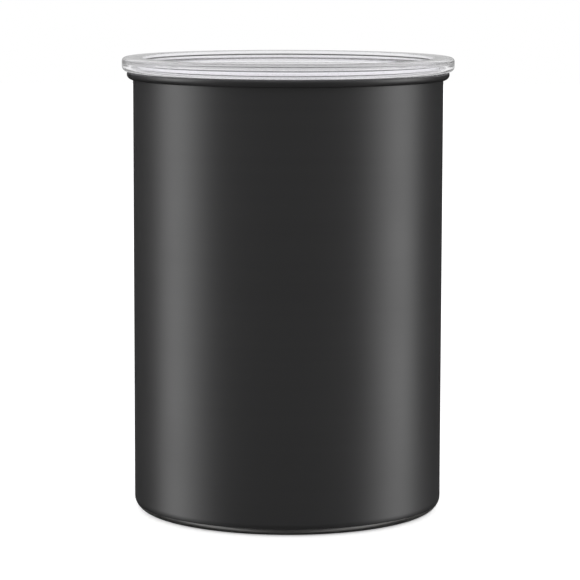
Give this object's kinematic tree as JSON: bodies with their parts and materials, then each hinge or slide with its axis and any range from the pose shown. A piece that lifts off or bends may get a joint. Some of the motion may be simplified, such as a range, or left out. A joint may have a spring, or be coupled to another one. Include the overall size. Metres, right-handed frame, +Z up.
{
  "type": "coffee canister",
  "caption": "Cylindrical steel coffee canister with a clear press-on lid over a sliding air-expelling inner lid that has a cam-lifted valve and a fold-down handle.",
  "frame": {"origin": "middle of the face that the canister stands on", "axes": "+Z up along the canister's axis; the inner handle lies folded towards -Y, the front, and its pivot axis runs along X"},
  "size_m": [0.1292, 0.1292, 0.1771],
  "materials": {
    "black_satin_steel": "satin black coating on brushed stainless steel",
    "clear_plastic": "clear moulded plastic, polished",
    "clear_silicone": "translucent silicone",
    "black_plastic": "fine moulded texture",
    "black_silicone": "matt silicone",
    "white_acetal": "machined acetal, slightly waxy",
    "handle_steel": "drawn and polished stainless wire",
    "spring_steel": "bright spring wire",
    "screen_steel": "perforated stainless sheet",
    "screw_steel": "stainless screws"
  },
  "bodies": {
    "canister": {"canister_shell": "black_satin_steel"},
    "lid": {"outer_lid": "clear_plastic", "outer_lid_seal": "clear_silicone"},
    "plunger": {"plunger_plate": "black_plastic", "wiper_seal": "black_silicone", "valve_housing": "black_plastic", "hub_cap": "black_plastic", "hub_screw_1": "screw_steel", "hub_screw_2": "screw_steel", "hub_screw_3": "screw_steel", "hub_screw_4": "screw_steel", "left_pivot_bush": "white_acetal", "right_pivot_bush": "white_acetal", "filter_screen": "screen_steel", "filter_ring": "black_plastic", "valve_spring": "spring_steel"},
    "handle": {"handle_bail": "handle_steel", "left_cam": "white_acetal", "right_cam": "white_acetal", "left_cam_clip": "spring_steel", "right_cam_clip": "spring_steel"},
    "valve": {"valve_stem": "white_acetal", "valve_disc": "black_silicone"}
  },
  "joints": [
    {"name": "lid_lift", "type": "slide", "parent": "canister", "child": "lid", "axis": [0, 0, 1], "range_m": [0, 0.06]},
    {"name": "plunger_press", "type": "slide", "parent": "canister", "child": "plunger", "axis": [0, 0, 1], "range_m": [-0.109, 0]},
    {"name": "handle_fold", "type": "hinge", "parent": "plunger", "child": "handle", "pos_m": [0, 0, 0.1253], "axis": [-1, 0, 0], "range_deg": [0, 90]},
    {"name": "valve_lift", "type": "slide", "parent": "plunger", "child": "valve", "axis": [0, 0, 1], "range_m": [0, 0.002], "deforming": ["valve_spring"]}
  ],
  "couplings": [
    {"joint": "valve_lift", "follows": "handle_fold", "m_per_rad": 0.0012732}
  ]
}
